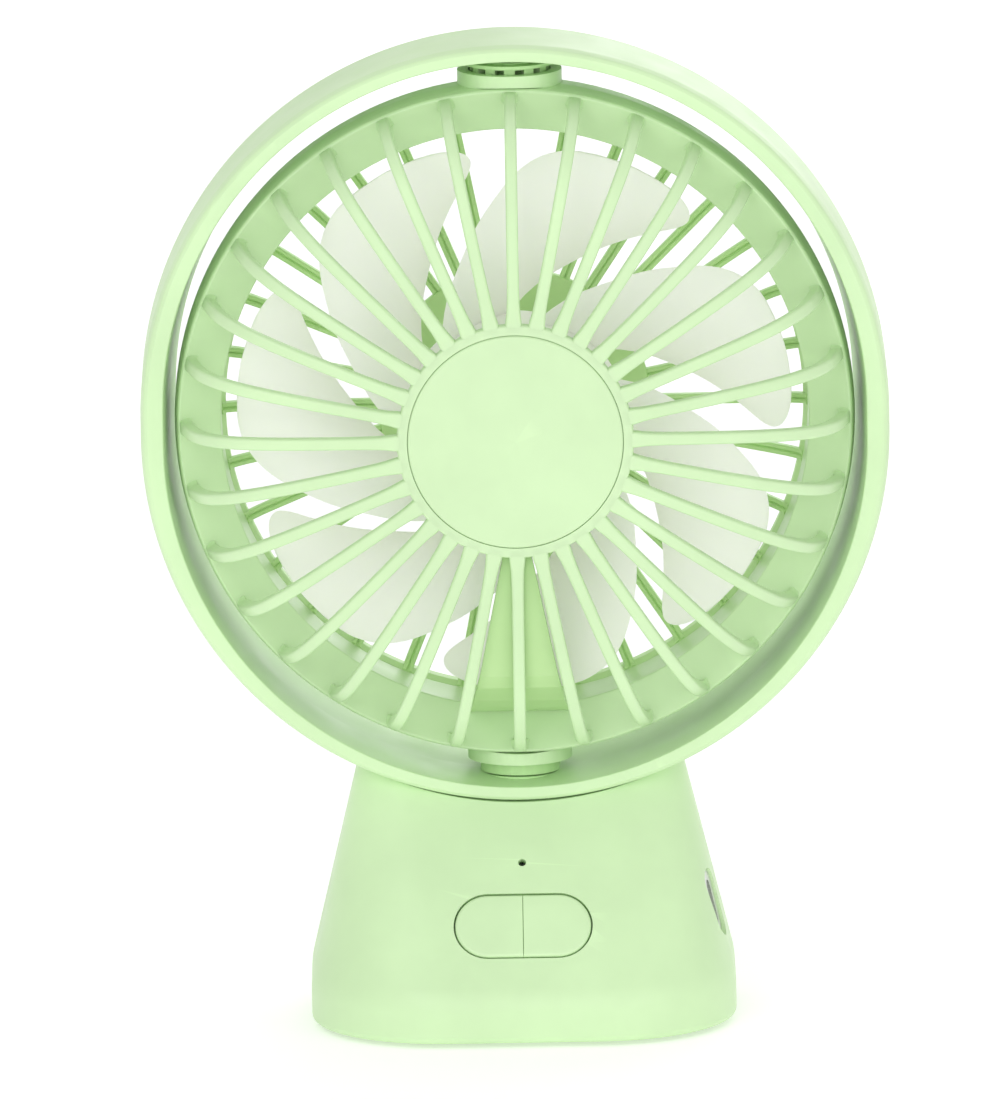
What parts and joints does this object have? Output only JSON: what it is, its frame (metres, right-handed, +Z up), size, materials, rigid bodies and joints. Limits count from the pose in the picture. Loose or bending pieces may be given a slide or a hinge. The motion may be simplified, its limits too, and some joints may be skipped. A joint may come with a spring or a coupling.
{
  "type": "desk fan",
  "caption": "Small mint green desk fan: a round grille head swivels about upright pivots inside a ring on a tapered base with a split pill button and a side charging port.",
  "frame": {"origin": "centre of the base on the floor, under the swivel axis", "axes": "+X to the right seen from the front, +Y from the front to the back, +Z up"},
  "size_m": [0.1316, 0.065, 0.1751],
  "materials": {
    "mint_plastic": "satin moulded plastic",
    "rear_plastic": "satin moulded plastic",
    "pivot_plastic": "satin moulded plastic",
    "frosted_plastic": "frosted translucent plastic",
    "gear_plastic": "bare moulded plastic",
    "lamp_lens": "clear moulded lens",
    "black_plastic": "moulded plastic",
    "foot_rubber": "soft matte rubber",
    "screw_steel": "plated steel",
    "motor_steel": "drawn steel can",
    "port_steel": "stamped steel",
    "bush_bronze": "sintered bronze",
    "foil_grey": "foil laminate",
    "board_green": "solder resist"
  },
  "bodies": {
    "stand": {"base_shell": "mint_plastic", "base_cover": "mint_plastic", "foot_pads": "foot_rubber", "cover_screws": "screw_steel", "ring_frame": "mint_plastic", "ring_screws": "screw_steel", "upper_pivot_pin": "pivot_plastic", "lower_bush": "pivot_plastic", "swivel_motor": "motor_steel", "motor_mount_screws": "screw_steel", "main_board": "board_green", "usb_socket": "port_steel", "switch_board": "board_green", "tact_switches": "black_plastic", "board_screws": "screw_steel", "led_lamp": "lamp_lens", "battery_cell": "foil_grey", "battery_pad": "foot_rubber"},
    "head": {"front_grille": "mint_plastic", "hub_cap": "mint_plastic", "rear_grille": "rear_plastic", "upper_collar": "mint_plastic", "lower_collar": "mint_plastic", "upper_bush": "bush_bronze", "cable_cover": "rear_plastic", "motor_housing": "mint_plastic", "motor_housing_screws": "screw_steel", "fan_motor": "motor_steel", "motor_bush": "bush_bronze", "pivot_shaft": "pivot_plastic", "swivel_gear": "gear_plastic", "shaft_clip": "screw_steel"},
    "impeller": {"fan_blades": "frosted_plastic", "motor_shaft": "motor_steel"},
    "pinion": {"swivel_pinion": "bush_bronze", "pinion_shaft": "motor_steel"},
    "speed_key": {"speed_button": "mint_plastic"},
    "swivel_key": {"swivel_button": "mint_plastic"}
  },
  "joints": [
    {"name": "head_swivel", "type": "hinge", "parent": "stand", "child": "head", "pos_m": [0, 0, 0.1076], "axis": [0, 0, 1], "range_deg": [-45, 45]},
    {"name": "impeller_spin", "type": "hinge", "parent": "head", "child": "impeller", "pos_m": [0, 0, 0.1076], "axis": [0, 1, 0], "continuous": true},
    {"name": "pinion_spin", "type": "hinge", "parent": "stand", "child": "pinion", "pos_m": [-0.01409, 0.00351, 0.0316], "axis": [0, 0, 1], "range_deg": [-95, 95]},
    {"name": "speed_press", "type": "slide", "parent": "stand", "child": "speed_key", "axis": [0, 0.8419, -0.5397], "range_m": [0, 0.0008], "stiffness_N_per_m": 600},
    {"name": "swivel_press", "type": "slide", "parent": "stand", "child": "swivel_key", "axis": [0, 0.8419, -0.5397], "range_m": [0, 0.0008], "stiffness_N_per_m": 600}
  ],
  "couplings": [
    {"joint": "pinion_spin", "follows": "head_swivel", "ratio": -2}
  ]
}
